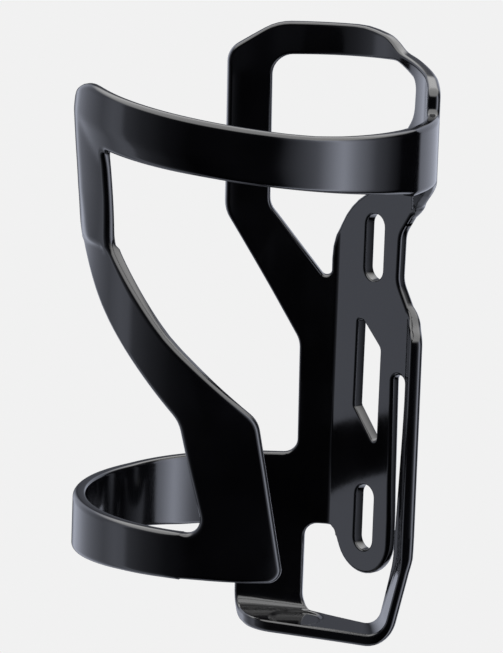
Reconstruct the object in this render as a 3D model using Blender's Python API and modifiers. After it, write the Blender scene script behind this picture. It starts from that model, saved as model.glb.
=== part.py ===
"""Side-entry water bottle cage for a bicycle frame.

The cage is one moulded wall bent around the bottle.  Its flat pattern is drawn with u along the
wall (0 at the middle of the back plate, positive towards the band) and z up the bottle, in
millimetres.  The pattern is sliced into named regions, given the wall's thickness and wrapped
around the bottle.  The loop that carries the bottle's base is lofted below it.

The origin is on the mounting face, midway between the two bolt slots; the bottle stands at -Y.
"""
import math

import bmesh
import bpy
from mathutils import Matrix, Vector

MM = 0.001

# Driving dimensions, in millimetres
BORE_RADIUS = 37.0        # inner face of the round wall, for a 74 mm bottle
WALL = 3.0                # wall thickness
ARM_INSET = 0.7           # the arm's inner face stands this far outside the bore
ARM_WALL = 2.2            # wall thickness of the sprung arm
PLATE_HALF_WIDTH = 11.6   # half the width of the flat back plate
PLATE_DEPTH = 38.0        # from the bottle's axis to the plate's inner face
BOLT_SPACING = 64.0       # between the centres of the two bolt slots
SLOT_WIDTH = 5.7
SLOT_LENGTH = 15.6
SHELF_TOP = -56.7         # the face that the bottle's base stands on
KNEE_INSET = 5.0          # how far the right rail leans in before it meets the shelf
HALF_GAP = 0.15           # half the gap between two neighbouring regions
ARM_HALF_GAP = 0.3        # half the gap where the sprung arm leaves the frame
FLARE = 1.9               # how far the arm's tip leans away from the bottle
ROUND_FROM = 44.0         # below this height the back is folded flat
ROUND_ABOVE = 62.0        # above this height the back is round
STRIP = 4.0               # facet width around the bottle
ARC_STEP = math.radians(18.0)

# Derived dimensions
CREASE_REACH = math.hypot(PLATE_HALF_WIDTH, PLATE_DEPTH)
FLANK_TURN = math.atan2(PLATE_HALF_WIDTH, PLATE_DEPTH) + math.acos(BORE_RADIUS / CREASE_REACH)
FLANK_LENGTH = math.sqrt(CREASE_REACH ** 2 - BORE_RADIUS ** 2)
FLANK_END = PLATE_HALF_WIDTH + FLANK_LENGTH
HALF_LOOP = FLANK_END + BORE_RADIUS * (math.pi - FLANK_TURN)
MOUNT_DEPTH = PLATE_DEPTH + WALL

# Where the sprung arm is cut from the frame
BAND_ROOT = 49.7          # u of the cut between the shoulder and the band
RING_ANGLE = math.radians(24.0)   # the ring's cut, measured from the front of the bottle
RING_ROOT = HALF_LOOP - BORE_RADIUS * RING_ANGLE
RING_END = -HALF_LOOP - BORE_RADIUS * RING_ANGLE

# Rail, leg and their joints with the loop below
RAIL_BACK = 9.8
RAIL_FRONT = 16.9
LEG_BACK = -17.0
LEG_FRONT = -32.8
KNEE_TOP_Z = -33.0
LEG_TOP_Z = -44.0

# Colours (linear) and finish of the regions
GLOSS_BLACK = (0.006, 0.006, 0.007)
ROUGHNESS = 0.12


def ease(value):
    """Smooth step from 0 to 1."""
    value = min(1.0, max(0.0, value))
    return value * value * (3.0 - 2.0 * value)


def folded_section(u):
    """Point and outward normal of the folded wall: plate, flank, then round."""
    if u <= PLATE_HALF_WIDTH:
        return Vector((u, PLATE_DEPTH)), Vector((0.0, 1.0))
    if u <= FLANK_END:
        along = Vector((math.cos(FLANK_TURN), -math.sin(FLANK_TURN)))
        corner = Vector((PLATE_HALF_WIDTH, PLATE_DEPTH))
        normal = Vector((math.sin(FLANK_TURN), math.cos(FLANK_TURN)))
        return corner + along * (u - PLATE_HALF_WIDTH), normal
    turn = FLANK_TURN + (u - FLANK_END) / BORE_RADIUS
    normal = Vector((math.sin(turn), math.cos(turn)))
    return normal * BORE_RADIUS, normal


def round_section(u):
    """Point and outward normal of the wall where the back is round too."""
    if u > FLANK_END:
        return folded_section(u)
    turn = FLANK_TURN * u / FLANK_END
    normal = Vector((math.sin(turn), math.cos(turn)))
    return normal * BORE_RADIUS, normal


def flare(u, z):
    """Outward lean of the arm towards the top of its tip."""
    return FLARE * ease((u - 75.0) / 50.0) * ease((z - 42.0) / 34.0)


def wall_point(u, z, out=0.0):
    """Wrap a point of the flat pattern, out millimetres outside the wall's inner face."""
    side = -1.0 if u < 0.0 else 1.0
    out = out + flare(u, z)
    folded, folded_normal = folded_section(abs(u))
    rounded_back, round_normal = round_section(abs(u))
    share = ease((z - ROUND_FROM) / (ROUND_ABOVE - ROUND_FROM))
    place = (folded + folded_normal * out).lerp(rounded_back + round_normal * out, share)
    return Vector((side * place.x, place.y - MOUNT_DEPTH, z)) * MM


def fillet(before, corner, after, radius, steps=None):
    """Points of the arc that rounds a corner between two straight runs."""
    if radius == 0.0:
        return [corner]
    back = (before - corner).normalized()
    on = (after - corner).normalized()
    half = back.angle(on) / 2.0
    turn = math.pi - 2.0 * half
    steps = steps or max(1, math.ceil(turn / ARC_STEP))
    start = corner + back * (radius / math.tan(half))
    end = corner + on * (radius / math.tan(half))
    centre = corner + (back + on).normalized() * (radius / math.sin(half))
    points = []
    for i in range(steps + 1):
        a = turn * i / steps
        weight_start = math.sin(turn - a) / math.sin(turn)
        weight_end = math.sin(a) / math.sin(turn)
        points.append(centre + (start - centre) * weight_start + (end - centre) * weight_end)
    return points


def rounded(corners):
    """Closed outline through (u, z, radius) corners."""
    spots = [Vector((u, z)) for u, z, _ in corners]
    points = []
    for i, (_, _, radius) in enumerate(corners):
        following = spots[(i + 1) % len(spots)]
        points.extend(fillet(spots[i - 1], spots[i], following, radius))
    return points


def slot(z):
    """Round-ended bolt slot centred at height z."""
    half = SLOT_WIDTH / 2.0
    radius = half - 0.01
    low = z - SLOT_LENGTH / 2.0
    high = z + SLOT_LENGTH / 2.0
    return rounded([(-half, low, radius), (half, low, radius), (half, high, radius),
                    (-half, high, radius)])


def frame_outline():
    """Outer edge of the plate, left side, hoop, shoulder, ring and rail stubs."""
    rail_cut = (KNEE_TOP_Z + HALF_GAP)
    leg_cut = (LEG_TOP_Z + HALF_GAP)
    root = BAND_ROOT - ARM_HALF_GAP
    ring_end = RING_END + ARM_HALF_GAP
    hoop = [(-38.0, 75.2, 5.0), (-27.8, 82.0, 12.0), (-6.0, 82.6, 25.0), (3.5, 81.6, 14.0),
            (17.5, 75.5, 25.0), (27.5, 72.9, 4.0), (32.0, 68.5, 5.0), (root, 68.2, 0.0)]
    web = [(root, 54.4, 0.0), (37.0, 52.8, 12.0), (21.0, 44.4, 12.0), (7.9, 40.0, 4.0)]
    rail = [(8.4, 23.0, 8.0), (RAIL_FRONT, 12.5, 8.0), (RAIL_FRONT, rail_cut, 0.0),
            (RAIL_BACK, rail_cut, 0.0), (11.3, -2.0, 12.0), (11.3, 3.6, 1.8), (7.4, 3.6, 1.8)]
    tongue = [(7.2, -24.0, 10.0), (9.0, -31.0, 10.0), (9.0, -45.2, 8.7), (-8.5, -45.2, 8.7),
              (-8.5, -36.4, 2.0), (LEG_BACK, -36.4, 2.5), (LEG_BACK, leg_cut, 0.0)]
    ring = [(LEG_FRONT, leg_cut, 0.0), (LEG_FRONT, -37.0, 4.0), (-46.0, -36.8, 30.0),
            (-117.5, -31.4, 60.0), (ring_end, -30.6, 0.0), (ring_end, -20.8, 0.0),
            (-60.0, -21.3, 60.0), (-18.8, -19.4, 3.5)]
    left = [(-18.8, 8.0, 6.0), (-36.6, 38.8, 8.0)]
    return rounded(hoop + web + rail + tongue + ring + left)


def frame_holes():
    """Hoop window, plate cutout and the two bolt slots."""
    window = rounded([(-28.0, 74.9, 5.0), (-27.8, 39.0, 5.0), (-13.6, 20.6, 1.3),
                      (-13.4, 38.0, 19.0), (8.0, 50.3, 5.0), (10.2, 60.5, 6.0),
                      (17.6, 67.2, 4.0), (17.9, 74.2, 4.5), (5.5, 77.0, 12.0)])
    cutout = rounded([(-4.35, 14.5, 0.8), (-2.7, 14.5, 0.8), (3.15, 8.8, 2.0),
                      (3.0, -15.0, 1.0), (-4.5, -6.2, 1.2)])
    return [window, cutout, slot(BOLT_SPACING / 2.0), slot(-BOLT_SPACING / 2.0)]


def arm_outline():
    """Edge of the band, its tip, the strut and the foot that joins the ring."""
    root = BAND_ROOT + ARM_HALF_GAP
    ring = RING_ROOT - ARM_HALF_GAP
    band_top = [(root, 68.2, 0.0), (76.0, 69.0, 120.0), (128.5, 75.8, 14.0)]
    tip = [(144.4, 71.6, 6.0), (144.0, 49.5, 14.0)]
    strut_left = [(103.0, 5.0, 6.0), (97.1, -21.0, 3.6), (ring, -20.9, 0.0)]
    foot = [(ring, -30.5, 0.0), (79.8, -30.3, 3.0), (86.5, 5.6, 5.0)]
    strut_right = [(122.6, 41.4, 7.0), (125.2, 62.4, 1.5)]
    band_bottom = [(100.0, 60.4, 200.0), (root, 54.4, 0.0)]
    return rounded(band_top + tip + strut_left + foot + strut_right + band_bottom)


def filled_panel(outline, holes):
    """Flat panel in the XY plane, faceted along the lines where the wall bends."""
    bm = bmesh.new()
    for points in [outline] + holes:
        verts = [bm.verts.new((p.x, p.y, 0.0)) for p in points]
        for a, b in zip(verts, verts[1:] + verts[:1]):
            bm.edges.new((a, b))
    bmesh.ops.triangle_fill(bm, use_beauty=True, use_dissolve=False, edges=bm.edges)
    upright = Vector((1.0, 0.0, 0.0))
    level = Vector((0.0, 1.0, 0.0))
    folds = [-PLATE_HALF_WIDTH, PLATE_HALF_WIDTH, FLANK_END, -FLANK_END]
    reach = int(max(abs(v.co.x) for v in bm.verts) / STRIP) + 1
    folds += [i * STRIP for i in range(-reach, reach + 1)]
    for u in folds:
        cut(bm, Vector((u, 0.0, 0.0)), upright)
    for i in range(5):
        height = ROUND_FROM + (ROUND_ABOVE - ROUND_FROM) * i / 4.0
        cut(bm, Vector((0.0, height, 0.0)), level)
    return bm


def cut(bm, point, normal, clear=False):
    """Cut the panel along a line, and drop what lies beyond it when clear is set."""
    geometry = list(bm.verts) + list(bm.edges) + list(bm.faces)
    bmesh.ops.bisect_plane(bm, geom=geometry, dist=1e-5, plane_co=point, plane_no=normal,
                           clear_outer=clear)


def region(panel, left=None, right=None, low=None, high=None):
    """Copy of the part of the panel between the given lines, half a gap inside each."""
    bm = panel.copy()
    limits = [(left, -1.0, 0.0), (right, 1.0, 0.0), (low, 0.0, -1.0), (high, 0.0, 1.0)]
    for value, across, up in limits:
        if value is None:
            continue
        normal = Vector((across, up, 0.0))
        edge = value - HALF_GAP * (across + up)
        cut(bm, Vector((edge * abs(across), edge * abs(up), 0.0)), normal, clear=True)
    return bm


def wrap(bm, inset=0.0, thickness=WALL):
    """Give a flat region its wall thickness and bend it around the bottle."""
    result = bmesh.ops.extrude_face_region(bm, geom=bm.faces[:])
    for item in result["geom"]:
        if isinstance(item, bmesh.types.BMVert):
            item.co.z = thickness
    bmesh.ops.triangulate(bm, faces=bm.faces[:])
    bmesh.ops.recalc_face_normals(bm, faces=bm.faces[:])
    for vert in bm.verts:
        vert.co = wall_point(vert.co.x, vert.co.y, vert.co.z + inset)
    # The flat pattern is seen from inside the bottle, so wrapping it mirrors its faces
    bmesh.ops.reverse_faces(bm, faces=bm.faces[:])


def moulding_material(name):
    """Gloss black moulded material of one region."""
    material = bpy.data.materials.new(name + "_gloss_black")
    material.use_nodes = True
    shader = material.node_tree.nodes["Principled BSDF"]
    shader.inputs["Base Color"].default_value = (*GLOSS_BLACK, 1.0)
    shader.inputs["Roughness"].default_value = ROUGHNESS
    shader.inputs["Metallic"].default_value = 0.0
    return material


def add_object(name, bm, collection):
    """Turn a mesh into a named object of the cage."""
    mesh = bpy.data.meshes.new(name)
    bm.to_mesh(mesh)
    bm.free()
    mesh.materials.append(moulding_material(name))
    obj = bpy.data.objects.new(name, mesh)
    collection.objects.link(obj)
    mesh.shade_smooth()
    mesh.set_sharp_from_angle(angle=math.radians(35.0))
    return obj


def set_origin(obj, point):
    """Move an object's origin without moving its mesh."""
    obj.data.transform(Matrix.Translation(-point))
    obj.location = point


def knee_plane_point(inset, along, z):
    """Point on a plane parallel to the right flank, inset millimetres closer to the bottle."""
    normal = Vector((math.sin(FLANK_TURN), math.cos(FLANK_TURN)))
    tangent = Vector((math.cos(FLANK_TURN), -math.sin(FLANK_TURN)))
    place = normal * (BORE_RADIUS - inset) + tangent * (along - FLANK_LENGTH)
    return Vector((place.x, place.y - MOUNT_DEPTH, z)) * MM


def loop_line(share):
    """One line along the inner face of the base loop, from its back (0) to its front (1)."""
    leg_u = LEG_BACK + (LEG_FRONT - LEG_BACK) * share
    rail_u = RAIL_BACK + (RAIL_FRONT - RAIL_BACK) * share
    leg_top = wall_point(leg_u, LEG_TOP_Z - HALF_GAP)
    leg_foot = wall_point(leg_u, SHELF_TOP)
    knee_foot = knee_plane_point(KNEE_INSET, -5.0 + 10.3 * share, SHELF_TOP)
    knee_bend = wall_point(rail_u, -38.0)
    rail_top = wall_point(rail_u, KNEE_TOP_Z - HALF_GAP)
    middle = leg_foot.lerp(knee_foot, 0.35)
    bulge = Vector((-17.0, 18.6 - MOUNT_DEPTH, SHELF_TOP)) * MM
    belly = middle.lerp(bulge, share ** 2)
    line = [leg_top]
    line += fillet(leg_top, leg_foot, belly, 3.7 * MM, 6)
    line += fillet(leg_foot, belly, knee_foot, 10.0 * MM, 6)
    line += fillet(belly, knee_foot, knee_bend, 5.0 * MM, 6)
    line += fillet(knee_foot, knee_bend, rail_top, 14.0 * MM, 3)
    line.append(rail_top)
    return line


def trimmed(line, first, last):
    """Stretch of a line between two of its points, half a gap short at each inner end."""
    piece = [point.copy() for point in line[first:last + 1]]
    if first > 0:
        piece[0] += (piece[1] - piece[0]).normalized() * HALF_GAP * MM
    if last < len(line) - 1:
        piece[-1] += (piece[-2] - piece[-1]).normalized() * HALF_GAP * MM
    return piece


def loop_piece(name, first, last, collection):
    """Loft one stretch of the base loop and give it the wall's thickness."""
    across = 5
    lines = [trimmed(loop_line(i / (across - 1)), first, last) for i in range(across)]
    bm = bmesh.new()
    rows = [[bm.verts.new(point) for point in line] for line in lines]
    for near, far in zip(rows, rows[1:]):
        for i in range(len(near) - 1):
            bm.faces.new((near[i], far[i], far[i + 1], near[i + 1]))
    bmesh.ops.recalc_face_normals(bm, faces=bm.faces[:])
    bm.normal_update()
    bm.faces.ensure_lookup_table()
    bottle_centre = Vector((0.0, -MOUNT_DEPTH, 0.0)) * MM
    face = bm.faces[0]
    if face.normal.dot(face.calc_center_median() - bottle_centre) < 0.0:
        bmesh.ops.reverse_faces(bm, faces=bm.faces[:])
    obj = add_object(name, bm, collection)
    shell = obj.modifiers.new("Wall", "SOLIDIFY")
    shell.thickness = WALL * MM
    shell.offset = 1.0
    shell.use_even_offset = True
    return obj


def hinge_point(angle, z):
    """Mid-wall point of the round wall, angle measured from the front of the bottle."""
    reach = BORE_RADIUS + WALL / 2.0
    return Vector((reach * math.sin(angle), -reach * math.cos(angle) - MOUNT_DEPTH, z)) * MM


def build_frame(collection):
    """The plate, the left side, the hoop, the shoulder, the ring and the right rail."""
    panel = filled_panel(frame_outline(), frame_holes())
    crease = PLATE_HALF_WIDTH
    regions = {
        "top_hoop": dict(right=4.0, low=70.0),
        "left_upright": dict(right=-20.0, low=40.0, high=70.0),
        "left_rail": dict(right=-crease, low=8.0, high=40.0),
        "left_flank": dict(left=-34.0, right=-crease, high=8.0),
        "base_ring_rear": dict(left=-84.0, right=-34.0, high=0.0),
        "base_ring_front": dict(right=-84.0, high=0.0),
        "back_plate": dict(left=-crease, right=9.5, high=42.0),
        "right_lower_rail": dict(left=9.5, high=30.0),
        "right_web": dict(left=-crease, right=24.0, low=42.0, high=58.0),
        "hoop_right_end": dict(left=4.0, right=24.0, low=58.0),
        "band_shoulder": dict(left=24.0, low=40.0),
    }
    for name, limits in regions.items():
        bm = region(panel, **limits)
        wrap(bm)
        add_object(name, bm, collection)
    panel.free()


def build_arm(collection):
    """The band, its tip, the strut and its foot, which spring away from the bottle."""
    panel = filled_panel(arm_outline(), [])
    regions = {
        "upper_band": dict(right=119.0, low=52.0),
        "band_tip": dict(left=119.0, low=50.0),
        "front_strut": dict(low=6.0, high=50.0),
        "strut_foot": dict(high=6.0),
    }
    axis_foot = hinge_point(RING_ANGLE, -26.0)
    for name, limits in regions.items():
        bm = region(panel, **limits)
        wrap(bm, ARM_INSET, ARM_WALL)
        obj = add_object(name, bm, collection)
        set_origin(obj, axis_foot)
    panel.free()


def build_loop(collection):
    """The left leg, the shelf under the bottle and the knee of the right rail."""
    last = len(loop_line(0.0)) - 1
    loop_piece("left_leg", 0, 8, collection)
    loop_piece("bottom_shelf", 8, 15, collection)
    loop_piece("right_knee", 15, last, collection)


def main():
    for old in list(bpy.data.objects):
        bpy.data.objects.remove(old, do_unlink=True)
    collection = bpy.data.collections.new("water_bottle_cage")
    bpy.context.scene.collection.children.link(collection)
    build_frame(collection)
    build_arm(collection)
    build_loop(collection)


main()
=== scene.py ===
"""Studio view of a side-entry water bottle cage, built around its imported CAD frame.

The cage is one glossy moulding.  Each CAD region is replaced by a piece with the moulding's real
rounded edges; neighbouring pieces share their borders and normals, so the wall looks seamless.
The flat pattern is drawn with u along the wall (0 at the middle of the back plate, positive
towards the band) and z up the bottle, in millimetres, and is then wrapped around the bottle.
"""
import math

import bmesh
import bpy
import numpy as np
from mathutils import Matrix, Vector
from mathutils.geometry import delaunay_2d_cdt

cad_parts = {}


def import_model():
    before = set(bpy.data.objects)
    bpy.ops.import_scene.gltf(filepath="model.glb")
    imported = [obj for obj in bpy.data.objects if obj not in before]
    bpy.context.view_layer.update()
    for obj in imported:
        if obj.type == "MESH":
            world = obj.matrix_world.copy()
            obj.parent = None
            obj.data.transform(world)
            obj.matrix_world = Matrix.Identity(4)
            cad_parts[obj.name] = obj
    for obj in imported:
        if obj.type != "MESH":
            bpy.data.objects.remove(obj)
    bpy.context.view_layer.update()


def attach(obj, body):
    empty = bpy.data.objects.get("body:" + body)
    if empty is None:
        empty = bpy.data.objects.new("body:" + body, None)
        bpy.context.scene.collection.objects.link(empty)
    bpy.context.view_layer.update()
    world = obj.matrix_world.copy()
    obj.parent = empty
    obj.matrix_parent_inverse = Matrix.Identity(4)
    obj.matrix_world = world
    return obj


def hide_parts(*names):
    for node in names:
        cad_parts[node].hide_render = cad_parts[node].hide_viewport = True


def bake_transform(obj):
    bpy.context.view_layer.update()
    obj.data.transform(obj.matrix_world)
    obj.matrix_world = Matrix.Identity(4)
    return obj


MM = 0.001

# The wall, close to the CAD's (millimetres)
BORE_RADIUS = 37.0
WALL = 3.0
ARM_INSET = 0.7           # gap between the bore and the arm's inner face
ARM_WALL = 2.2
PLATE_HALF_WIDTH = 11.6
PLATE_DEPTH = 38.0        # from the bore's axis to the plate's inner face
BOLT_SPACING = 64.0
SLOT_WIDTH = 5.7
SLOT_LENGTH = 15.6
SHELF_TOP = -56.7
KNEE_INSET = 3.5          # how far the knee's foot stands in from the right flank
KNEE_WALL = 2.4           # the knee's wall, thinner than the rest
FLARE = 1.9               # how far the arm's tip leans outwards
RING_INSET = 0.55         # how far the ring is drawn in towards the bottle
ROUND_FROM = 44.0         # up to here the back of the wall is folded
ROUND_ABOVE = 62.0        # from here up it is round
CREASE_REACH = math.hypot(PLATE_HALF_WIDTH, PLATE_DEPTH)
FLANK_TURN = math.atan2(PLATE_HALF_WIDTH, PLATE_DEPTH) + math.acos(BORE_RADIUS / CREASE_REACH)
FLANK_LENGTH = math.sqrt(CREASE_REACH ** 2 - BORE_RADIUS ** 2)
FLANK_END = PLATE_HALF_WIDTH + FLANK_LENGTH
HALF_LOOP = FLANK_END + BORE_RADIUS * (math.pi - FLANK_TURN)
MOUNT_DEPTH = PLATE_DEPTH + WALL
BAND_ROOT = 49.7
RING_ANGLE = math.radians(24.0)
RING_ROOT = HALF_LOOP - BORE_RADIUS * RING_ANGLE
RING_END = -HALF_LOOP - BORE_RADIUS * RING_ANGLE
RAIL_BACK = 9.8
RAIL_FRONT = 17.6
LEG_BACK = -17.0
LEG_FRONT = -32.8
KNEE_TOP_Z = -33.0
KNEE_BEND_Z = -40.0
LEG_TOP_Z = -44.0

# Where the frame and the arm are parted into pieces (millimetres)
PLATE_TOP_Z = 39.2
RAIL_LINE = 9.5
WEB_LINE = 24.0
HOOP_LINE = 4.0
FLANK_LINE = -34.0
RING_LINE = -84.0
TIP_LINE = 119.0
STRUT_FOOT_Z = 6.0
TIP_FOOT_Z = 50.0

# How the moulding is rounded off (millimetres)
OUTER_ROUND = 1.25        # edge radius on the outer face
INNER_ROUND = 0.75        # edge radius on the face towards the bottle
HOLE_ROUND = 0.5          # edge radius in the bolt slots and the plate cutout
CREASE_ROUND = 2.0        # bend radius where the plate meets its flanks
CREASE_CUTS = (-1.0, -0.6, -0.2, 0.2, 0.6, 1.0)   # edges across the bend, in half widths
RIDGE_SLOPE = 0.13        # how steeply the arm's facets fall away from their ridge
RIDGE_RISE = 1.1          # how far the ridge stands proud of the arm's plain wall
ROUND_STEPS = 6           # steps of each rounded edge
LAND = 0.25               # narrow flat strip beside each rounded edge
LEAST_ROUND = 0.02        # radius left where there is no room for more
ROOM_SHARE = 0.92         # share of the free room that a rounded edge may fill
OUTER_SHARE = 0.55        # share of the arm's thickness that its outer rounding may take
INNER_SHARE = 0.3         # the same for its inner rounding
OVERRUN = 4.0             # how far the pattern runs past a cut before it is trimmed
EDGE_STEP = 1.3           # longest edge along an outline
GRID_STEP = 1.7           # spacing of the points inside the pattern
ARM_GRID_STEP = 0.9       # the same on the faceted arm
ARC_STEP = math.radians(9.0)
SHORTEST_EDGE = 1e-6
MERGE_GAP = 1e-7          # points nearer than this count as one


def ease(value):
    """Smooth step from 0 to 1."""
    value = np.clip(value, 0.0, 1.0)
    return value * value * (3.0 - 2.0 * value)


# ---------------------------------------------------------------- wrapping the flat pattern

def folded_section(u):
    """Points and outward normals of the folded wall: plate, bend, flank, then round."""
    reach = CREASE_ROUND * math.tan(FLANK_TURN / 2.0)
    share = np.clip((u - PLATE_HALF_WIDTH + reach) / (2.0 * reach), 0.0, 1.0)
    bend = FLANK_TURN * share
    past = np.clip(u - FLANK_END, 0.0, None) / BORE_RADIUS
    turn = bend + past
    on_plate = np.minimum(u, PLATE_HALF_WIDTH - reach)
    on_flank = np.clip(u, PLATE_HALF_WIDTH + reach, FLANK_END) - PLATE_HALF_WIDTH - reach
    x = on_plate + CREASE_ROUND * np.sin(bend) + on_flank * math.cos(FLANK_TURN)
    y = PLATE_DEPTH - CREASE_ROUND * (1.0 - np.cos(bend)) - on_flank * math.sin(FLANK_TURN)
    normal = np.stack([np.sin(turn), np.cos(turn)], axis=-1)
    place = np.stack([x, y], axis=-1)
    return np.where((u > FLANK_END)[:, None], normal * BORE_RADIUS, place), normal


def round_section(u):
    """Points and outward normals where the back of the wall is round too."""
    turn = np.where(u > FLANK_END, FLANK_TURN + (u - FLANK_END) / BORE_RADIUS,
                    FLANK_TURN * u / FLANK_END)
    normal = np.stack([np.sin(turn), np.cos(turn)], axis=-1)
    return normal * BORE_RADIUS, normal


def wrap(flat):
    """Bend points (u, z, out) of the flat wall around the bottle, in millimetres."""
    u, z, out = flat[:, 0], flat[:, 1], flat[:, 2]
    side = np.where(u < 0.0, -1.0, 1.0)
    lean = FLARE * ease((u - 75.0) / 50.0) * ease((z - 42.0) / 34.0)
    draw_in = RING_INSET * ease((np.abs(u) - 45.0) / 25.0) * ease(-(z + 4.0) / 14.0)
    out = (out + lean - draw_in)[:, None]
    folded, folded_normal = folded_section(np.abs(u))
    rounded_back, round_normal = round_section(np.abs(u))
    share = ease((z - ROUND_FROM) / (ROUND_ABOVE - ROUND_FROM))[:, None]
    place = (folded + folded_normal * out) * (1.0 - share)
    place = place + (rounded_back + round_normal * out) * share
    return np.stack([side * place[:, 0], place[:, 1] - MOUNT_DEPTH, z], axis=-1)


def wrap_normals(flat, normals):
    """Turn the flat wall's normals with the wall as it bends."""
    step = 0.02
    columns = []
    for axis in range(3):
        nudge = np.zeros(3)
        nudge[axis] = step
        columns.append((wrap(flat + nudge) - wrap(flat - nudge)) / (2.0 * step))
    jacobian = np.stack(columns, axis=-1)
    turned = np.einsum("nji,nj->ni", np.linalg.inv(jacobian), normals)
    return turned / np.linalg.norm(turned, axis=1)[:, None]


# ---------------------------------------------------------------- outlines of the flat pattern

def fillet(before, corner, after, radius, steps=None):
    """Points of the arc that rounds a corner between two straight runs."""
    if radius == 0.0:
        return [corner]
    back = (before - corner).normalized()
    on = (after - corner).normalized()
    half = back.angle(on) / 2.0
    turn = math.pi - 2.0 * half
    steps = steps or max(2, math.ceil(turn / ARC_STEP))
    start = corner + back * (radius / math.tan(half))
    end = corner + on * (radius / math.tan(half))
    centre = corner + (back + on).normalized() * (radius / math.sin(half))
    points = []
    for i in range(steps + 1):
        a = turn * i / steps
        weight_start = math.sin(turn - a) / math.sin(turn)
        weight_end = math.sin(a) / math.sin(turn)
        points.append(centre + (start - centre) * weight_start + (end - centre) * weight_end)
    return points


def rounded(corners):
    """Closed outline through (u, z, radius) corners, with no edge longer than EDGE_STEP."""
    spots = [Vector((u, z)) for u, z, _ in corners]
    points = []
    for i, (_, _, radius) in enumerate(corners):
        following = spots[(i + 1) % len(spots)]
        points.extend(fillet(spots[i - 1], spots[i], following, radius))
    result = []
    for a, b in zip(points, points[1:] + points[:1]):
        pieces = max(1, math.ceil((b - a).length / EDGE_STEP))
        if (b - a).length > SHORTEST_EDGE:
            result.extend(a.lerp(b, k / pieces) for k in range(pieces))
    return np.array([(p.x, p.y) for p in result])


def slot(z):
    """Round-ended bolt slot centred at height z."""
    half = SLOT_WIDTH / 2.0
    radius = half - 0.01
    low = z - SLOT_LENGTH / 2.0
    high = z + SLOT_LENGTH / 2.0
    return rounded([(-half, low, radius), (half, low, radius), (half, high, radius),
                    (-half, high, radius)])


def frame_outline():
    """Outer edge of the plate, left side, hoop, shoulder, ring and rail stubs."""
    rail_cut = KNEE_TOP_Z - 2.0 * OVERRUN
    leg_cut = LEG_TOP_Z - 2.0 * OVERRUN
    root = BAND_ROOT + OVERRUN
    ring_end = RING_END - OVERRUN
    hoop = [(-38.5, 75.0, 5.0), (-27.8, 81.8, 12.0), (-5.0, 82.9, 25.0), (2.6, 81.5, 9.0),
            (7.0, 78.5, 8.0), (24.5, 75.8, 10.0), (31.0, 73.6, 3.0), (31.2, 68.5, 2.0),
            (root, 68.4, 0.0)]
    web = [(root, 53.6, 0.0), (33.0, 52.9, 10.0), (24.0, 48.4, 8.0), (13.0, 43.7, 5.0),
           (8.1, 36.3, 5.0)]
    rail = [(7.9, 25.2, 5.0), (13.1, 16.6, 5.0), (RAIL_FRONT, 13.8, 4.0),
            (RAIL_FRONT, rail_cut, 0.0),
            (9.65, rail_cut, 0.0), (11.3, -2.0, 12.0), (11.3, 3.6, 1.8), (7.4, 3.6, 1.8)]
    tongue = [(7.9, -23.0, 10.0), (8.2, -31.0, 10.0), (8.2, -45.4, 8.4), (-8.9, -45.4, 8.7),
              (-8.9, -36.2, 2.0), (LEG_BACK, -36.2, 3.2), (LEG_BACK, leg_cut, 0.0)]
    ring = [(LEG_FRONT, leg_cut, 0.0), (LEG_FRONT, -37.2, 4.0), (-46.0, -37.3, 30.0),
            (-117.5, -31.9, 60.0), (ring_end, -31.0, 0.0), (ring_end, -20.6, 0.0),
            (-60.0, -21.1, 60.0), (-19.4, -19.6, 3.5)]
    left = [(-19.8, 7.3, 6.0), (-37.9, 37.3, 8.0)]
    return rounded(hoop + web + rail + tongue + ring + left)


def frame_holes():
    """Hoop window, plate cutout and the two bolt slots."""
    window = rounded([(-28.5, 74.1, 5.0), (-27.9, 39.0, 5.0), (-12.9, 20.8, 1.3),
                      (-13.1, 38.3, 19.0), (8.0, 50.7, 5.0), (10.2, 60.0, 6.0),
                      (15.7, 65.6, 6.0), (16.1, 73.2, 3.0), (6.0, 76.4, 8.0)])
    cutout = rounded([(-4.35, 14.5, 0.8), (-2.7, 14.5, 0.8), (3.15, 8.8, 2.0),
                      (3.0, -15.0, 1.0), (-4.5, -6.2, 1.2)])
    return [window, cutout, slot(BOLT_SPACING / 2.0), slot(-BOLT_SPACING / 2.0)]


def arm_outline():
    """Edge of the band, its tip, the strut and the foot that joins the ring."""
    root = BAND_ROOT - OVERRUN
    ring = RING_ROOT + OVERRUN
    band_top = [(root, 68.4, 0.0), (76.0, 69.1, 120.0), (131.0, 75.9, 14.0)]
    tip = [(143.9, 71.5, 9.5), (144.6, 49.5, 14.0)]
    strut_left = [(125.6, 26.5, 80.0), (103.2, 4.5, 7.0), (96.9, -20.8, 3.6),
                  (ring, -20.6, 0.0)]
    foot = [(ring, -31.0, 0.0), (79.5, -30.8, 3.0), (86.2, 6.0, 6.0)]
    strut_right = [(106.8, 23.0, 60.0), (123.5, 41.0, 7.0), (124.7, 62.0, 1.5)]
    band_bottom = [(100.0, 59.8, 200.0), (root, 53.6, 0.0)]
    return rounded(band_top + tip + strut_left + foot + strut_right + band_bottom)


# ---------------------------------------------------------------- rounded flat panels

def signed_area(points):
    """Area inside a closed outline, negative when it runs clockwise."""
    x, y = points[:, 0], points[:, 1]
    return 0.5 * float(np.sum(x * np.roll(y, -1) - np.roll(x, -1) * y))


def turned(points, clockwise):
    """The outline, running the way that keeps the wall on its left."""
    return points[::-1].copy() if (signed_area(points) < 0.0) != clockwise else points


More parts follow.
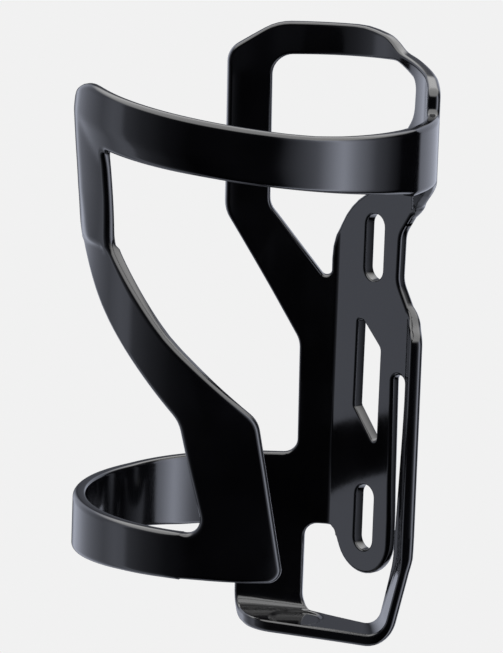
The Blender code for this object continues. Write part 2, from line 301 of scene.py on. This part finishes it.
def moved_in(points, distance):
    """The outline moved into the wall, by one distance for each point."""
    before = points - np.roll(points, 1, axis=0)
    after = np.roll(points, -1, axis=0) - points
    before = before / np.linalg.norm(before, axis=1)[:, None]
    after = after / np.linalg.norm(after, axis=1)[:, None]
    left_before = np.stack([-before[:, 1], before[:, 0]], axis=-1)
    left_after = np.stack([-after[:, 1], after[:, 0]], axis=-1)
    share = 1.0 + np.sum(left_before * left_after, axis=1)
    return points + (left_before + left_after) * (distance / share)[:, None]


def inside(places, loops):
    """Which places are inside the outlines, by counting the edges on one side of them."""
    crossings = np.zeros(len(places), dtype=int)
    for loop in loops:
        ahead = np.roll(loop, -1, axis=0)
        for (x0, y0), (x1, y1) in zip(loop, ahead):
            if y0 == y1:
                continue
            spans = (places[:, 1] > min(y0, y1)) & (places[:, 1] <= max(y0, y1))
            crossing = x0 + (places[:, 1] - y0) * (x1 - x0) / (y1 - y0)
            crossings += spans & (crossing > places[:, 0])
    return crossings % 2 == 1


def face_grid(loops, spacing):
    """Points inside the outlines on a square grid, clear of the outlines themselves."""
    everything = np.concatenate(loops)
    low, high = everything.min(axis=0), everything.max(axis=0)
    u = np.arange(low[0], high[0], spacing)
    z = np.arange(low[1], high[1], spacing)
    places = np.stack(np.meshgrid(u, z), axis=-1).reshape(-1, 2)
    places = places[inside(places, loops)]
    clear = np.ones(len(places), dtype=bool)
    for start in range(0, len(everything), 200):
        block = everything[start:start + 200]
        gaps = np.linalg.norm(places[:, None, :] - block[None, :, :], axis=2)
        clear &= gaps.min(axis=1) > 0.6 * spacing
    return places[clear]


def inward(points):
    """Unit directions into the wall at the outline's points."""
    step = moved_in(points, np.full(len(points), 1.0)) - points
    return step / np.linalg.norm(step, axis=1)[:, None]


def room_to_round(loops):
    """Largest edge radius that fits at each outline point, from the circles that touch there."""
    everything = np.concatenate(loops)
    rooms = []
    for loop in loops:
        normals = inward(loop)
        gap = everything[None, :, :] - loop[:, None, :]
        depth = np.einsum("ijk,ik->ij", gap, normals)
        square = np.sum(gap ** 2, axis=2)
        tiny, endless = 1e-6, 1e3
        radius = np.where(depth > tiny, square / np.maximum(2.0 * depth, tiny), endless)
        room = radius.min(axis=1)
        around = np.stack([np.roll(room, k) for k in range(-3, 4)])
        rooms.append(around.min(axis=0))
    return rooms


def fitted(radius, rooms):
    """Edge radii that leave a land between the rounded edges of a narrow place."""
    radii = np.minimum(radius, np.maximum(ROOM_SHARE * rooms - LAND, LEAST_ROUND))
    around = np.stack([np.roll(radii, k) for k in range(-2, 3)])
    return np.minimum(around.mean(axis=0), radii)


def face_sheet(loops, radii, spacing):
    """One face of the panel: points (u, z, drop below the face) and its polygons."""
    points, faces, last_rings = [], [], []
    for loop, radius in zip(loops, radii):
        first = sum(len(block) for block in points)
        count = len(loop)
        for step in range(ROUND_STEPS + 2):
            angle = 0.5 * math.pi * min(step, ROUND_STEPS) / ROUND_STEPS
            land = np.minimum(LAND, 0.25 * radius)
            distance = radius * (1.0 - math.cos(angle)) + land * (step > ROUND_STEPS)
            drop = radius * (1.0 - math.sin(angle))
            points.append(np.column_stack([moved_in(loop, distance), drop]))
            if step:
                near = first + (step - 1) * count
                faces.extend((near + i, near + (i + 1) % count, near + count + (i + 1) % count,
                              near + count + i) for i in range(count))
        last_rings.append((first + (ROUND_STEPS + 1) * count, points[-1][:, :2]))
    rings = [ring for _, ring in last_rings]
    grid = face_grid(rings, spacing)
    places = np.concatenate(rings + [grid])
    ids = [start + i for start, ring in last_rings for i in range(len(ring))]
    total = sum(len(block) for block in points)
    ids += [total + i for i in range(len(grid))]
    points.append(np.column_stack([grid, np.zeros(len(grid))]))
    edges = []
    offset = 0
    for ring in rings:
        count = len(ring)
        edges += [(offset + i, offset + (i + 1) % count) for i in range(count)]
        offset += count
    result = delaunay_2d_cdt([Vector(p) for p in places], edges, [], 0, MERGE_GAP)
    origin = [sources[0] for sources in result[3]]
    triangles = np.array([[origin[i] for i in face] for face in result[2]])
    centres = places[triangles].mean(axis=1)
    keep = triangles[inside(centres, rings)]
    faces.extend(tuple(ids[i] for i in triangle) for triangle in keep)
    return np.concatenate(points), faces


def panel_solid(loops, outer_radii, inner_radii, faces_at, spacing):
    """Closed flat solid (u, z, out) with rounded edges and its normals kept in a layer."""
    outer, outer_faces = face_sheet(loops, outer_radii, spacing)
    inner, inner_faces = face_sheet(loops, inner_radii, spacing)
    outer_out, inner_out = faces_at(outer)[0], faces_at(inner)[1]
    bm = bmesh.new()
    layer = bm.verts.layers.float_vector.new("flat_normal")
    tops = [bm.verts.new((u, z, out - drop)) for (u, z, drop), out in zip(outer, outer_out)]
    floors = [bm.verts.new((u, z, out + drop)) for (u, z, drop), out in zip(inner, inner_out)]
    for face in outer_faces:
        bm.faces.new([tops[i] for i in face])
    for face in inner_faces:
        bm.faces.new([floors[i] for i in reversed(face)])
    start = 0
    for loop in loops:
        count = len(loop)
        for i in range(count):
            a, b = start + i, start + (i + 1) % count
            bm.faces.new((tops[b], tops[a], floors[a], floors[b]))
        start += count * (ROUND_STEPS + 2)
    bm.normal_update()
    for vert in bm.verts:
        vert[layer] = vert.normal
    return bm


def cut(bm, point, normal, clear=False, below=math.inf):
    """Cut the solid, where it is below a height, and drop what lies beyond if clear is set."""
    # Lists keep the mesh's own order, so that every run gives the same mesh
    verts = [vert for vert in bm.verts if vert.co.y < below]
    low = set(verts)
    geometry = verts + [edge for edge in bm.edges if low.issuperset(edge.verts)]
    geometry += [face for face in bm.faces if low.issuperset(face.verts)]
    bmesh.ops.bisect_plane(bm, geom=geometry, dist=SHORTEST_EDGE, plane_co=point,
                           plane_no=normal, clear_outer=clear)


def region(solid, left=None, right=None, low=None, high=None):
    """Copy of the part of the flat solid between the given lines."""
    bm = solid.copy()
    limits = [(left, -1.0, 0.0), (right, 1.0, 0.0), (low, 0.0, -1.0), (high, 0.0, 1.0)]
    for value, across, up in limits:
        if value is not None:
            spot = Vector((value * abs(across), value * abs(up), 0.0))
            cut(bm, spot, Vector((across, up, 0.0)), clear=True)
    return bm


# ---------------------------------------------------------------- pieces

def add_piece(name, points, faces, normals, caps, material):
    """Object from points in millimetres, with its own normals except on its end caps."""
    mesh = bpy.data.meshes.new(name)
    mesh.from_pydata((points * MM).tolist(), [], faces + caps)
    mesh.shade_smooth()
    mesh.validate()
    mesh.update()
    corners = np.zeros(len(mesh.loops), dtype=np.int32)
    mesh.loops.foreach_get("vertex_index", corners)
    corner_normals = normals[corners]
    for polygon in mesh.polygons[len(faces):]:
        start = polygon.loop_start
        corner_normals[start:start + polygon.loop_total] = polygon.normal
    mesh.normals_split_custom_set(corner_normals.tolist())
    mesh.materials.append(material)
    obj = bpy.data.objects.new(name, mesh)
    bpy.context.scene.collection.objects.link(obj)
    return obj


def wrapped_piece(name, bm, material):
    """Cap a cut region of the flat solid, wrap it around the bottle and make it an object."""
    layer = bm.verts.layers.float_vector["flat_normal"]
    open_edges = [edge for edge in bm.edges if edge.is_boundary]
    wall_faces = list(bm.faces)
    filled = bmesh.ops.holes_fill(bm, edges=open_edges, sides=0)["faces"] if open_edges else []
    bm.verts.index_update()
    flat = np.array([vert.co[:] for vert in bm.verts])
    flat_normals = np.array([vert[layer][:] for vert in bm.verts])
    normals = wrap_normals(flat, flat_normals)
    # The flat pattern is seen from inside the bottle, so wrapping it mirrors its faces
    faces = [tuple(vert.index for vert in reversed(face.verts)) for face in wall_faces]
    caps = [tuple(vert.index for vert in reversed(face.verts)) for face in filled]
    bm.free()
    return add_piece(name, wrap(flat), faces, normals, caps, material)


def parted(solid, regions, material):
    """Pieces of a flat solid, one for each named region of it."""
    pieces = {name: wrapped_piece("moulded_" + name, region(solid, **limits), material)
              for name, limits in regions.items()}
    solid.free()
    return pieces


def plain_faces(points):
    """Outer and inner face of the frame's wall at points (u, z)."""
    return np.full(len(points), WALL), np.zeros(len(points))


def softly(value, width=0.5):
    """The positive part of a value, rounded off around zero."""
    return 0.5 * (value + np.sqrt(value ** 2 + width ** 2)) - 0.5 * width


def facet_shares(u, z):
    """How far the arm has turned from plain to faceted, along the band and up the strut."""
    return ease((u - 78.0) / 30.0), ease((z + 8.0) / 26.0)


def ridge_drop(u, z):
    """How far the arm's facets fall away from the ridge of the strut and crease of the band."""
    along_band, up_strut = facet_shares(u, z)
    ridge = np.interp(z, (-30.0, 6.0, 23.0, 35.0, 43.0, 51.0, 60.0),
                      (90.0, 95.8, 114.6, 125.9, 131.2, 133.7, 134.2))
    crease = np.interp(u, (95.0, 112.0, 118.5, 126.0, 133.5), (63.0, 65.0, 66.2, 67.2, 68.0))
    slope = RIDGE_SLOPE * up_strut
    upper = RIDGE_SLOPE * softly(z - crease) * along_band
    lower = RIDGE_SLOPE * softly(crease - z) * along_band
    left = slope * softly(u - ridge)
    right = slope * softly(ridge - u)
    # The strut's right facet and the band's lower one meet in a soft valley
    smaller = 0.5 * (right + lower - np.sqrt((right - lower) ** 2 + 0.01)) + 0.05
    return upper + left + smaller


def arm_faces(points):
    """Outer and inner face of the arm's wall, which thins away from both of its roots."""
    u, z = points[:, 0], points[:, 1]
    share = np.where(z > 40.0, ease((u - BAND_ROOT) / 18.0), ease((RING_ROOT - u) / 12.0))
    along_band, up_strut = facet_shares(u, z)
    faceted = np.where(z > TIP_FOOT_Z, along_band, up_strut)
    raised = RIDGE_RISE * faceted - ridge_drop(u, z)
    outer = WALL + (ARM_INSET + ARM_WALL - WALL + raised) * share
    return outer, ARM_INSET * share


def frame_pieces(material):
    """The plate, the left side, the hoop, the shoulder, the ring and the right rail."""
    holes = [turned(hole, True) for hole in frame_holes()]
    loops = [turned(frame_outline(), False)] + holes
    rooms = room_to_round(loops)
    # The outline and the hoop's window come first, then the plate's own holes
    holes_round = [HOLE_ROUND] * (len(loops) - 2)
    outer = [fitted(r, room) for r, room in zip([OUTER_ROUND] * 2 + holes_round, rooms)]
    inner = [fitted(r, room) for r, room in zip([INNER_ROUND] * 2 + holes_round, rooms)]
    solid = panel_solid(loops, outer, inner, plain_faces, GRID_STEP)
    reach = CREASE_ROUND * math.tan(FLANK_TURN / 2.0)
    for side in (-1.0, 1.0):
        for share in CREASE_CUTS:
            line = side * (PLATE_HALF_WIDTH + reach * share)
            cut(solid, Vector((line, 0.0, 0.0)), Vector((1.0, 0.0, 0.0)))
    crease = PLATE_HALF_WIDTH
    regions = {
        "top_hoop": dict(right=HOOP_LINE, low=70.0),
        "left_upright": dict(right=-20.0, low=40.0, high=70.0),
        "left_rail": dict(right=-crease, low=8.0, high=40.0),
        "left_flank": dict(left=FLANK_LINE, right=-crease, low=LEG_TOP_Z, high=8.0),
        "base_ring_rear": dict(left=RING_LINE, right=FLANK_LINE, high=0.0),
        "base_ring_front": dict(left=RING_END, right=RING_LINE, high=0.0),
        "back_plate": dict(left=-crease, right=RAIL_LINE, high=PLATE_TOP_Z),
        "right_lower_rail": dict(left=RAIL_LINE, low=KNEE_TOP_Z, high=30.0),
        "right_web": dict(left=-crease, right=WEB_LINE, low=PLATE_TOP_Z, high=58.0),
        "hoop_right_end": dict(left=HOOP_LINE, right=WEB_LINE, low=58.0),
        "band_shoulder": dict(left=WEB_LINE, right=BAND_ROOT, low=40.0),
    }
    return parted(solid, regions, material)


def arm_pieces(material):
    """The band, its tip, the strut and its foot, which spring away from the bottle."""
    loops = [turned(arm_outline(), False)]
    rooms = room_to_round(loops)
    outer_face, inner_face = arm_faces(loops[0])
    thickness = outer_face - inner_face
    outer = [np.minimum(fitted(OUTER_ROUND, rooms[0]), OUTER_SHARE * thickness)]
    inner = [np.minimum(fitted(INNER_ROUND, rooms[0]), INNER_SHARE * thickness)]
    solid = panel_solid(loops, outer, inner, arm_faces, ARM_GRID_STEP)
    cut(solid, Vector((RING_ROOT, 0.0, 0.0)), Vector((1.0, 0.0, 0.0)), clear=True, below=-12.0)
    regions = {
        "upper_band": dict(left=BAND_ROOT, right=TIP_LINE, low=52.0),
        "band_tip": dict(left=TIP_LINE, low=TIP_FOOT_Z),
        "front_strut": dict(low=STRUT_FOOT_Z, high=TIP_FOOT_Z),
        "strut_foot": dict(high=STRUT_FOOT_Z),
    }
    return parted(solid, regions, material)


# ---------------------------------------------------------------- loop under the bottle

def knee_plane_point(inset, along, z):
    """Point on a plane parallel to the right flank, inset millimetres closer to the bottle."""
    normal = Vector((math.sin(FLANK_TURN), math.cos(FLANK_TURN)))
    tangent = Vector((math.cos(FLANK_TURN), -math.sin(FLANK_TURN)))
    place = normal * (BORE_RADIUS - inset) + tangent * (along - FLANK_LENGTH)
    return Vector((place.x, place.y - MOUNT_DEPTH, z))


def run(start, end, count):
    """Points after start on the way to end, count steps, without end itself."""
    return [start.lerp(end, i / count) for i in range(1, count)]


def wall_point(u, z):
    """Point of the wall's inner face."""
    return Vector(wrap(np.array([[u, z, 0.0]]))[0])


LEG_TURN, BELLY_TURN, KNEE_TURN, BEND_TURN = 10, 12, 10, 10   # steps of the loop's fillets
LOOP_RUNS = (6, 20, 34, 10, 3)        # steps of the straight runs before and after them
BELLY_ROW = LOOP_RUNS[0] + LEG_TURN + LOOP_RUNS[1] + BELLY_TURN
KNEE_ROW = BELLY_ROW + LOOP_RUNS[2]
LINE_GAP = 0.025                      # share of the loop's width between two of its lines
SPARE_LINES = 4                       # lines drawn past the loop's back edge
LINE_COUNT = 50
CROSS_STEPS = 31                      # points across each face of the loop


def loop_line(share):
    """One line along the inner face of the base loop, from its back (0) to its front (1)."""
    leg_u = LEG_BACK + (LEG_FRONT - LEG_BACK) * share
    rail_u = RAIL_BACK + (RAIL_FRONT - RAIL_BACK) * share
    leg_top = wall_point(leg_u, LEG_TOP_Z)
    leg_foot = wall_point(leg_u, SHELF_TOP)
    knee_foot = knee_plane_point(KNEE_INSET, -5.0 + 10.3 * share, SHELF_TOP)
    knee_bend = wall_point(rail_u, KNEE_BEND_Z)
    rail_top = wall_point(rail_u, KNEE_TOP_Z)
    # The shelf's back edge is nearly straight, and its front edge bellies out
    middle = leg_foot.lerp(knee_foot, 0.35)
    front_belly = Vector((-17.0, 18.6 - MOUNT_DEPTH, SHELF_TOP))
    belly = middle.lerp(front_belly, 0.02 + 0.98 * share ** 2)
    arcs = [fillet(leg_top, leg_foot, belly, 3.7, LEG_TURN),
            fillet(leg_foot, belly, knee_foot, 10.0, BELLY_TURN),
            fillet(belly, knee_foot, knee_bend, 5.0, KNEE_TURN),
            fillet(knee_foot, knee_bend, rail_top, 20.0, BEND_TURN)]
    line = [leg_top]
    for arc, count in zip(arcs, LOOP_RUNS):
        line += run(line[-1], arc[0], count) + arc
    line += run(line[-1], rail_top, LOOP_RUNS[4]) + [rail_top]
    return np.array([p[:] for p in line])


# The shelf's shallow round recess (millimetres)
RECESS_CENTRE = (-10.7, -13.1)
RECESS_RADIUS = 6.6
RECESS_EDGE = 1.4         # width of its soft edge
RECESS_DEPTH = 0.5


def recess(points):
    """Depth of the shelf's shallow round recess at points, and its slope there."""
    offset = points[:, :2] - np.array(RECESS_CENTRE)
    reach = np.linalg.norm(offset, axis=1)
    share = np.clip((RECESS_RADIUS - reach) / RECESS_EDGE, 0.0, 1.0)
    on_shelf = points[:, 2] < SHELF_TOP + 1.0
    depth = RECESS_DEPTH * on_shelf * ease(share)
    slope = -RECESS_DEPTH * on_shelf * 6.0 * share * (1.0 - share) / RECESS_EDGE
    return depth, offset * (slope / reach)[:, None]


def loop_solid():
    """Rings of points and normals around the loop's rounded cross-section."""
    lines = np.array([loop_line(LINE_GAP * (i - SPARE_LINES)) for i in range(LINE_COUNT)])
    count = lines.shape[1]
    rows = np.arange(count)
    rising = ease((rows - KNEE_ROW) / KNEE_TURN)
    falling = ease((count - 1.0 - rows) / 12.0)
    wall = WALL - (WALL - KNEE_WALL) * rising * falling

    def place(share):
        line = share / LINE_GAP + SPARE_LINES
        before = np.floor(line).astype(int)
        part = (line - before)[:, None]
        return lines[before, rows] * (1.0 - part) + lines[before + 1, rows] * part

    everywhere = np.zeros(count)
    width = np.linalg.norm(place(everywhere + 1.0) - place(everywhere), axis=1)

    def surface(share):
        here = place(share)
        across = place(share + LINE_GAP) - place(share - LINE_GAP)
        along = np.gradient(here, axis=0)
        across /= np.linalg.norm(across, axis=1)[:, None]
        normal = np.cross(along, across)
        normal /= np.linalg.norm(normal, axis=1)[:, None]
        edge = np.cross(normal, along)
        edge /= np.linalg.norm(edge, axis=1)[:, None]
        return here, normal, edge

    rings = []

    def ring(share, out, across_part, out_part):
        here, normal, edge = surface(share)
        turn = edge * across_part + normal * out_part
        if out_part == -1.0:
            depth, slope = recess(here)
            out = out + depth
            turn[:, :2] += slope
            turn /= np.linalg.norm(turn, axis=1)[:, None]
        rings.append((here + normal * out[:, None], turn))

    interior = np.linspace(0.0, 1.0, CROSS_STEPS)

    def rounding(front, outer):
        radius = OUTER_ROUND if outer else INNER_ROUND
        result = []
        for step in range(ROUND_STEPS + 2):
            angle = 0.5 * math.pi * min(step, ROUND_STEPS) / ROUND_STEPS
            distance = radius * (1.0 - math.cos(angle)) + LAND * (step > ROUND_STEPS)
            drop = radius * (1.0 - math.sin(angle))
            out = wall - drop if outer else np.full(count, drop)
            share = distance / width
            share = 1.0 - share if front else share
            side = math.cos(angle) * (1.0 if front else -1.0)
            result.append((share, out, side, math.sin(angle) * (1.0 if outer else -1.0)))
        return result

    def crossing(out, out_part, radius, backwards):
        inset = (radius + LAND) / width
        steps = interior[1:-1][::-1] if backwards else interior[1:-1]
        return [(inset + (1.0 - 2.0 * inset) * s, out, 0.0, out_part) for s in steps]

    contour = rounding(False, False)
    contour += crossing(np.zeros(count), -1.0, INNER_ROUND, False)
    contour += rounding(True, False)[::-1]
    contour += rounding(True, True)
    contour += crossing(wall, 1.0, OUTER_ROUND, True)
    contour += rounding(False, True)[::-1]
    for share, out, side, up in contour:
        ring(share, out, side, up)
    return (np.array([points for points, _ in rings]),
            np.array([normals for _, normals in rings]))


def loop_pieces(material):
    """The left leg, the shelf under the bottle and the knee of the right rail."""
    points, normals = loop_solid()
    around, count = points.shape[:2]
    leg_end = LOOP_RUNS[0] + LEG_TURN + LOOP_RUNS[1] // 2
    knee_start = KNEE_ROW - 2
    spans = {"left_leg": (0, leg_end), "bottom_shelf": (leg_end, knee_start),
             "right_knee": (knee_start, count - 1)}
    pieces = {}
    for name, (first, last) in spans.items():
        rows = last - first + 1
        place = points[:, first:last + 1].transpose(1, 0, 2).reshape(-1, 3)
        turn = normals[:, first:last + 1].transpose(1, 0, 2).reshape(-1, 3)
        faces = []
        for r in range(rows - 1):
            for k in range(around):
                on = (k + 1) % around
                faces.append((r * around + k, r * around + on,
                              (r + 1) * around + on, (r + 1) * around + k))
        caps = [tuple(range(around))[::-1],
                tuple((rows - 1) * around + k for k in range(around))]
        pieces[name] = add_piece("moulded_" + name, place, faces, turn, caps, material)
    return pieces


# ---------------------------------------------------------------- material

def node(tree, kind, inputs=None, **settings):
    """New shader node with its settings and input values."""
    made = tree.nodes.new(kind)
    for key, value in settings.items():
        setattr(made, key, value)
    for key, value in (inputs or {}).items():
        made.inputs[key].default_value = value
    return made


def ramp(tree, source, stops, interpolation="LINEAR"):
    """Colour ramp of grey or coloured stops fed by a socket."""
    made = tree.nodes.new("ShaderNodeValToRGB")
    made.color_ramp.interpolation = interpolation
    elements = made.color_ramp.elements
    while len(elements) < len(stops):
        elements.new(0.5)
    for element, (position, colour) in zip(elements, stops):
        element.position = position
        element.color = colour if len(colour) == 4 else (*colour, 1.0)
    tree.links.new(source, made.inputs["Fac"])
    return made.outputs["Color"]


def gloss_black_plastic():
    """Glossy black nylon: slight colour and gloss variation over a faint moulded ripple."""
    material = bpy.data.materials.new("gloss_black_plastic")
    material.use_nodes = True
    tree = material.node_tree
    shader = tree.nodes["Principled BSDF"]
    link = tree.links.new
    place = tree.nodes.new("ShaderNodeTexCoord").outputs["Object"]
    flow = node(tree, "ShaderNodeTexNoise", {"Scale": 70.0, "Detail": 3.0, "Roughness": 0.5})
    grain = node(tree, "ShaderNodeTexNoise", {"Scale": 1500.0, "Detail": 4.0, "Roughness": 0.6})
    for texture in (flow, grain):
        link(place, texture.inputs["Vector"])
    shade = ramp(tree, flow.outputs["Fac"],
                 [(0.3, (0.0014, 0.0014, 0.0017)), (0.7, (0.0026, 0.0026, 0.0032))])
    link(shade, shader.inputs["Base Color"])
    gloss = node(tree, "ShaderNodeMapRange", {"From Min": 0.35, "From Max": 0.65,
                                              "To Min": 0.07, "To Max": 0.13})
    mixed = node(tree, "ShaderNodeMath", operation="MULTIPLY_ADD")
    mixed.inputs[1].default_value = 0.4
    link(grain.outputs["Fac"], mixed.inputs[0])
    scaled = node(tree, "ShaderNodeMath", operation="MULTIPLY")
    scaled.inputs[1].default_value = 0.6
    link(flow.outputs["Fac"], scaled.inputs[0])
    link(scaled.outputs[0], mixed.inputs[2])
    link(mixed.outputs[0], gloss.inputs["Value"])
    link(gloss.outputs["Result"], shader.inputs["Roughness"])
    ripple = node(tree, "ShaderNodeBump", {"Strength": 0.25, "Distance": 0.00006})
    link(flow.outputs["Fac"], ripple.inputs["Height"])
    peel = node(tree, "ShaderNodeBump", {"Strength": 0.15, "Distance": 0.000006})
    link(grain.outputs["Fac"], peel.inputs["Height"])
    link(ripple.outputs["Normal"], peel.inputs["Normal"])
    link(peel.outputs["Normal"], shader.inputs["Normal"])
    shader.inputs["IOR"].default_value = 1.52
    shader.inputs["Metallic"].default_value = 0.0
    return material


# ---------------------------------------------------------------- studio

OVERHEAD_LIGHT = 4.0
WALL_TINT = (0.91, 0.96, 1.13)    # the studio's light is slightly violet
# Brightness of the walls at azimuths in degrees, 0 being straight ahead of the plate
WALL_LIGHT = [(-180, 1.0), (-150, 1.0), (-143, 0.3), (-124, 0.1), (-112, 1.0), (-98, 1.1),
              (-82, 0.85), (-62, 0.65), (-50, 1.05), (-42, 1.05), (-38, 0.5), (-24, 0.25),
              (-8, 0.07), (10, 0.0), (60, 0.0), (64, 0.05), (71, 0.5), (84, 1.45), (98, 4.3),
              (102, 4.8), (112, 2.6), (126, 0.75), (140, 0.2), (149, 0.0), (170.5, 0.0),
              (172.5, 1.0), (180, 1.0)]


def studio_world():
    """Soft studio surroundings: pale walls with dark gaps, and a soft light overhead."""
    world = bpy.data.worlds.new("studio")
    bpy.context.scene.world = world
    world.use_nodes = True
    tree = world.node_tree
    link = tree.links.new
    background = tree.nodes["Background"]
    direction = tree.nodes.new("ShaderNodeTexCoord").outputs["Generated"]
    split = tree.nodes.new("ShaderNodeSeparateXYZ")
    link(direction, split.inputs[0])
    behind = node(tree, "ShaderNodeMath", operation="MULTIPLY")
    behind.inputs[1].default_value = -1.0
    link(split.outputs["Y"], behind.inputs[0])
    azimuth = node(tree, "ShaderNodeMath", operation="ARCTAN2")
    link(split.outputs["X"], azimuth.inputs[0])
    link(behind.outputs[0], azimuth.inputs[1])
    turn = node(tree, "ShaderNodeMapRange", {"From Min": -math.pi, "From Max": math.pi})
    link(azimuth.outputs[0], turn.inputs["Value"])
    stops = [((degrees + 180.0) / 360.0, tuple(tint * level for tint in WALL_TINT))
             for degrees, level in WALL_LIGHT]
    around = ramp(tree, turn.outputs["Result"], stops)
    height = node(tree, "ShaderNodeMapRange", {"From Min": 0.45, "From Max": 0.75})
    height.interpolation_type = "SMOOTHSTEP"
    link(split.outputs["Z"], height.inputs["Value"])
    mix = node(tree, "ShaderNodeMix", data_type="RGBA")
    link(height.outputs["Result"], mix.inputs["Factor"])
    colour_inputs = [socket for socket in mix.inputs if socket.type == "RGBA"]
    link(around, colour_inputs[0])
    colour_inputs[1].default_value = (OVERHEAD_LIGHT, OVERHEAD_LIGHT, OVERHEAD_LIGHT, 1.0)
    colour_output = [socket for socket in mix.outputs if socket.type == "RGBA"][0]
    link(colour_output, background.inputs["Color"])


SWEEP_GREY = 0.880
SWEEP_FLOOR = -0.0605
SWEEP_HEIGHT = 2.5
SWEEP_HALF_WIDTH = 3.0
SWEEP_REACH = 2.2
SWEEP_RADIUS = 0.6
SWEEP_STEPS = 12


def studio_sweep():
    """Pale floor that sweeps up into a backdrop."""
    bm = bmesh.new()
    profile = [(-SWEEP_REACH, SWEEP_FLOOR)]
    for i in range(SWEEP_STEPS + 1):
        a = 0.5 * math.pi * i / SWEEP_STEPS
        profile.append((SWEEP_REACH - SWEEP_RADIUS + SWEEP_RADIUS * math.sin(a),
                        SWEEP_FLOOR + SWEEP_RADIUS * (1.0 - math.cos(a))))
    profile.append((SWEEP_REACH, SWEEP_HEIGHT))
    sides = (-SWEEP_HALF_WIDTH, SWEEP_HALF_WIDTH)
    rows = []
    for along, z in profile:
        rows.append([bm.verts.new((side, along, z)) for side in sides])
    for near, far in zip(rows, rows[1:]):
        bm.faces.new((near[0], near[1], far[1], far[0]))
    mesh = bpy.data.meshes.new("studio_sweep")
    bm.to_mesh(mesh)
    bm.free()
    mesh.shade_smooth()
    material = bpy.data.materials.new("pale_sweep")
    material.use_nodes = True
    tree = material.node_tree
    tree.nodes.remove(tree.nodes["Principled BSDF"])
    glow = node(tree, "ShaderNodeEmission", {"Color": (SWEEP_GREY,) * 3 + (1.0,)})
    tree.links.new(glow.outputs[0], tree.nodes["Material Output"].inputs["Surface"])
    mesh.materials.append(material)
    sweep = bpy.data.objects.new("studio_sweep", mesh)
    bpy.context.scene.collection.objects.link(sweep)
    sweep.rotation_euler.z = CAMERA_AZIMUTH
    sweep.visible_glossy = False
    sweep.visible_diffuse = False


# Where the camera stands, round the bottle's axis, and what it aims at (metres)
CAMERA_AZIMUTH = math.radians(45.65)
CAMERA_ELEVATION = math.radians(12.71)
CAMERA_ROLL = math.radians(2.04)
CAMERA_DISTANCE = 1.2021
CAMERA_LENS = 294.55
AIM_ACROSS = -0.00030
AIM_HEIGHT = 0.0184


def studio_camera():
    """Long-lens camera, slightly above the cage."""
    az, el, roll = CAMERA_AZIMUTH, CAMERA_ELEVATION, CAMERA_ROLL
    back = Vector((math.sin(az) * math.cos(el), -math.cos(az) * math.cos(el), math.sin(el)))
    right = Vector((math.cos(az), math.sin(az), 0.0))
    up = back.cross(right)
    target = right * AIM_ACROSS + Vector((0.0, -MOUNT_DEPTH * MM, AIM_HEIGHT))
    rolled_right = right * math.cos(roll) + up * math.sin(roll)
    rolled_up = up * math.cos(roll) - right * math.sin(roll)
    data = bpy.data.cameras.new("studio_camera")
    data.lens = CAMERA_LENS
    data.sensor_width = 36.0
    data.clip_end = 20.0
    camera = bpy.data.objects.new("studio_camera", data)
    bpy.context.scene.collection.objects.link(camera)
    turn = Matrix((rolled_right, rolled_up, back)).transposed().to_4x4()
    camera.matrix_world = Matrix.Translation(target + back * CAMERA_DISTANCE) @ turn
    bpy.context.scene.camera = camera


# The line about which the arm springs, through the roots of its band and its foot
HINGE_POINT = Vector((15.659, -76.172, -26.0))
HINGE_AXIS = Vector((0.213817, 0.449026, 0.867558))


def hinge_side():
    """The point abreast of the hinge where the arm has its full movement."""
    tip = wall_point(120.0, 40.0)
    return tip - (tip - HINGE_POINT).project(HINGE_AXIS)


def main():
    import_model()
    bpy.context.scene.view_settings.view_transform = "Standard"
    material = gloss_black_plastic()
    still = {**frame_pieces(material), **loop_pieces(material)}
    sprung = arm_pieces(material)
    for piece in still.values():
        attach(piece, "frame")
    for piece in sprung.values():
        hinge_side() * MM
        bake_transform(piece)
    for name, piece in {**still, **sprung}.items():
        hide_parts(name)
    studio_world()
    studio_sweep()
    studio_camera()


main()
